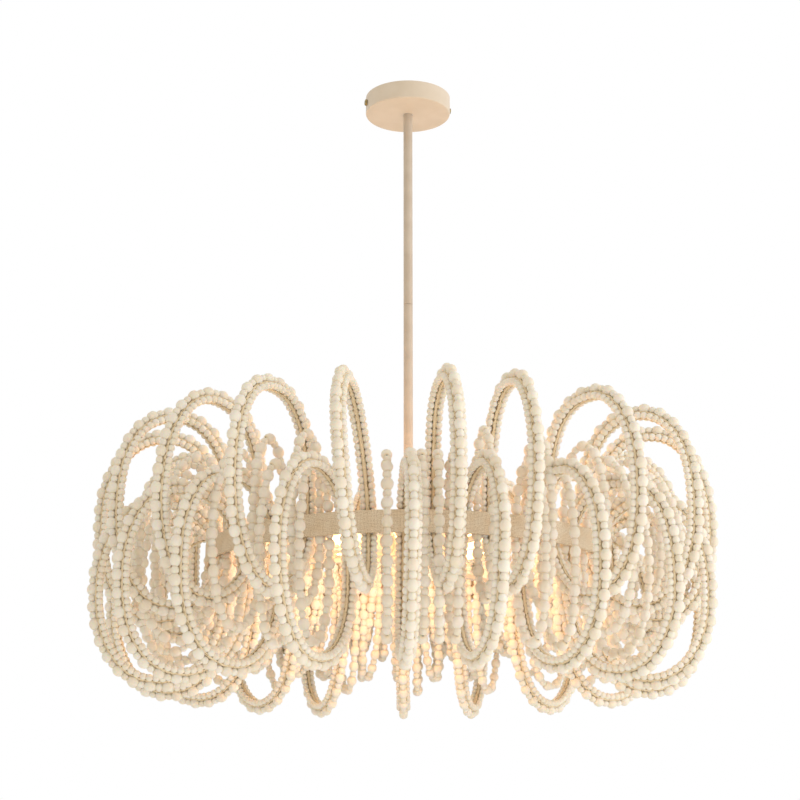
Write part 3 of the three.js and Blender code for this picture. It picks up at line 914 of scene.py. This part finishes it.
# Half width, half height and rise of each kind, then the azimuth, turn and width share of each.
inner_shift = -0.0078
inner_kinds = {
    "high": (
        0.046, 0.112, 0.008,
        [
            (-62.2, -3, 1), (-36.4, 0, 0.7), (-24.6, -7, 0.7), (18.2, -1, 0.7), (33, -3, 0.7),
            (47.7, 0, 0.8), (68.2, 4, 1), (87.9, 0, 1), (99.4, 0, 1), (111, 0, 1), (122.5, 0, 1),
            (134, 0, 1), (167.2, 0, 1), (187.1, 0, 1), (207, 0, 1), (226.9, 0, 1), (246.8, 0, 1),
            (288.4, 0, 1),
        ],
    ),
    "low": (
        0.051, 0.121, -0.038,
        [
            (-52.8, 0, 1), (-32.7, -3, 0.7), (-21.75, -9, 0.7), (-6.2, 8, 0.7), (2.1, 5, 0.7),
            (7.8, -9.2, 0.75), (10.2, 0, 0.7), (29.6, 0, 0.7), (38.3, -4, 0.7), (57.8, -5, 1),
            (78.8, 0, 1), (91.6, 0, 1), (103.1, 0, 1), (114.7, 0, 1), (126.2, 0, 1), (137.8, 0, 1),
            (157.3, 0, 1), (177.2, 0, 1), (197.1, 0, 1), (217, 0, 1), (236.9, 0, 1), (256.8, 0, 1),
            (277.6, 0, 1),
        ],
    ),
    "deep": (
        0.06, 0.118, -0.016,
        [
            (-71, 9, 1), (-44.5, 12, 0.9), (53, -12, 0.9), (73, -9, 1), (83.3, 8, 1), (106, -8, 1),
            (129, 8, 1), (147, -8, 1), (159.7, 10, 1), (164.7, -8, 1.1), (169.7, 12, 1),
            (174.7, -9, 1.1), (179.6, 8, 1), (184.6, -10, 1.1), (189.6, 9, 1), (194.6, -12, 1.1),
            (199.6, 8, 1), (204.5, -8, 1.1), (209.5, 12, 1), (214.5, -9, 1.1), (224.4, 8, 1),
            (234.3, -9, 1), (252, 9, 1), (272, -9, 1),
        ],
    ),
}
seed = 0
for kind, (half_width, half_height, rise, places) in inner_kinds.items():
    shape = bmesh.new()
    for azimuth, turn, wide in places:
        seed += 1
        half = half_width * wide
        sizes = {"Half Width": half, "Half Height": half_height, "Seed": seed}
        one = hoop_mesh(inner_tree, sizes)
        slots = list(one.materials)
        seated(one, half, rise, 0, turn, inner_shift, azimuth)
        shape.from_mesh(one)
        bpy.data.meshes.remove(one)
    inner_mesh = bpy.data.meshes.new(f"inner_hoops_{kind}")
    shape.to_mesh(inner_mesh)
    shape.free()
    for slot in slots:
        inner_mesh.materials.append(slot)
    keep(f"inner_hoops_{kind}", inner_mesh, "fixture")

# Ring: the flat steel ring in the band, rolled, welded and painted tan. It carries the hoops,
# and the spider's arms meet its inner face.
ring_paint, net, shader = finish("ring_paint")
place = net.add("ShaderNodeTexCoord").out("Object")
speck = net.add("ShaderNodeTexNoise", None, {"Vector": place, "Scale": 240.0, "Detail": 4.0})
feed(
    net,
    shader,
    Base_Color=net.mix(speck, (0.6, 0.46, 0.31, 1), (0.7, 0.56, 0.4, 1)),
    Roughness=0.5 + 0.15 * speck,
    Normal=bump(net, speck, 0.1, 0.0002),
)
ring_section = [
    (ring_inner, -band_half),
    (ring_outer, -band_half),
    (ring_outer, band_half),
    (ring_inner, band_half),
    (ring_inner, -band_half),
]
ring_mesh = banded("steel_ring", ring_section, 180)
ring_mesh.materials.append(ring_paint)
keep("steel_ring", ring_mesh, "fixture", ["band_ring"])


# Big hoops: an oval wire with three rows of whitewashed wooden beads, an outer row of large
# and small beads in turn on two side rows of small ones, laid on pale cords and bound with
# waxed thread. They are threaded on the band in two tiers, upper and lower in turn.
net, size = new_tree(
    "three_row_hoop",
    {"Half Width": 0.08, "Half Height": 0.13, "Sway": hand_sway, "Seed": 1},
)
side_offset = 0.0064
side_bead = 0.0103
side_pitch = 0.0091
side_long = 1.04
outer_rise = 0.0107
outer_small_bead = 0.0102
outer_long = 1.16
thread_radius = 0.0006
curve = oval_curve(net, size, oval_power, 160)
outer = beside(net, curve, outer_rise, 0.0)
left = beside(net, curve, 0.0, -side_offset)
right = beside(net, curve, 0.0, side_offset)
pairs = (net.add("GeometryNodeCurveLength", None, {0: outer}) / pair_length).floor()
smalls = (net.add("GeometryNodeCurveLength", None, {0: curve}) / side_pitch).floor()
big_shape = one_bead(net, 12, 8)
small_shape = one_bead(net, 9, 6)
first = size["Seed"]
rows = [
    strung(net, outer, pairs * 2.0, big_shape, big_bead, outer_small_bead, first + 200.0, outer_long),
    strung(net, left, smalls, small_shape, side_bead, side_bead, first + 300.0, side_long),
    strung(net, right, smalls, small_shape, side_bead, side_bead, first + 400.0, side_long),
]
# Each cord lies at a step outward from the oval and a step to its side, and has a radius.
cord_places = [
    (0.005, -0.0041, 0.0018),
    (0.005, 0.0041, 0.0018),
    (0.0036, 0.0, 0.0026),
    (-0.0022, 0.0, 0.0022),
]
thread_places = [(-0.0038, -0.0019), (-0.0038, 0.0019), (0.006, -0.0052), (0.006, 0.0052)]
outer_wire = 0.0014
core = [wire(net, outer, outer_wire, 80, 5)]
for outward, sideways, radius in cord_places:
    core.append(wire(net, beside(net, curve, outward, sideways), radius, 72, 6))
stitches = []
for outward, sideways in thread_places:
    stitches.append(wire(net, beside(net, curve, outward, sideways), thread_radius, 72, 4))
finish_tree(net, beads=rows, cords=core, threads=stitches)
hoop_tree = net.tree
# Half width, half height, rise, shift and first seed of each tier, then the azimuth, turn,
# lean and width share of each hoop.
tiers = {
    "upper": (
        0.079, 0.1323, 0.0445, -0.0125, 0,
        [
            (-66, 0, 1, 1), (-48, 0, -1, 1), (-28.6, -4, 1, 1.02), (-10.8, 0, 5, 1), (6.2, 5, 0, 1),
            (21.8, -2, -1, 1), (43, -2, 0, 1), (63, 0, -1, 0.98), (84, 0, 1, 0.98), (107.1, 1, -1, 1),
            (130.1, -1, 0, 1), (152.3, 2, 1, 1), (172.2, -2, -1, 1), (192.1, 2, 1, 1), (212, -2, -1, 1),
            (231.9, 2, 1, 1), (251.8, -1, 1, 1.02), (272.3, 2, -1, 1.05),
        ],
    ),
    "lower": (
        0.082, 0.1243, -0.0585, -0.0201, 40,
        [
            (-58, -7, 0, 1.02), (-40.5, -5, 1, 1), (-17.2, -13, 1, 1), (-1.6, 6, -1, 0.98),
            (14.2, 3, -2, 1), (33.6, 0, -1, 1), (52.5, 0, 1, 1), (73.5, -2, 0, 0.97),
            (95.5, 0, -1, 0.97), (118.6, 1, 1, 1), (141.7, -1, -1, 1), (162.2, 2, 1, 1),
            (182.1, -2, -1, 1), (202, 2, 1, 1), (221.9, -2, -1, 1), (241.8, 2, 1, 1.02),
            (261.7, 0, -1, 1.04), (283, -2, 1, 1.06),
        ],
    ),
}
for tier, (half_width, half_height, rise, shift, first_seed, places) in tiers.items():
    for number, (azimuth, turn, roll, wide) in enumerate(places, 1):
        half = half_width * wide
        sizes = {"Half Width": half, "Half Height": half_height, "Seed": first_seed + number}
        mesh = hoop_mesh(hoop_tree, sizes)
        seated(mesh, half, rise, roll, turn, shift, azimuth)
        node = f"{tier}_hoop_{number:02d}"
        keep(node + "_beads", mesh, "fixture", [node])
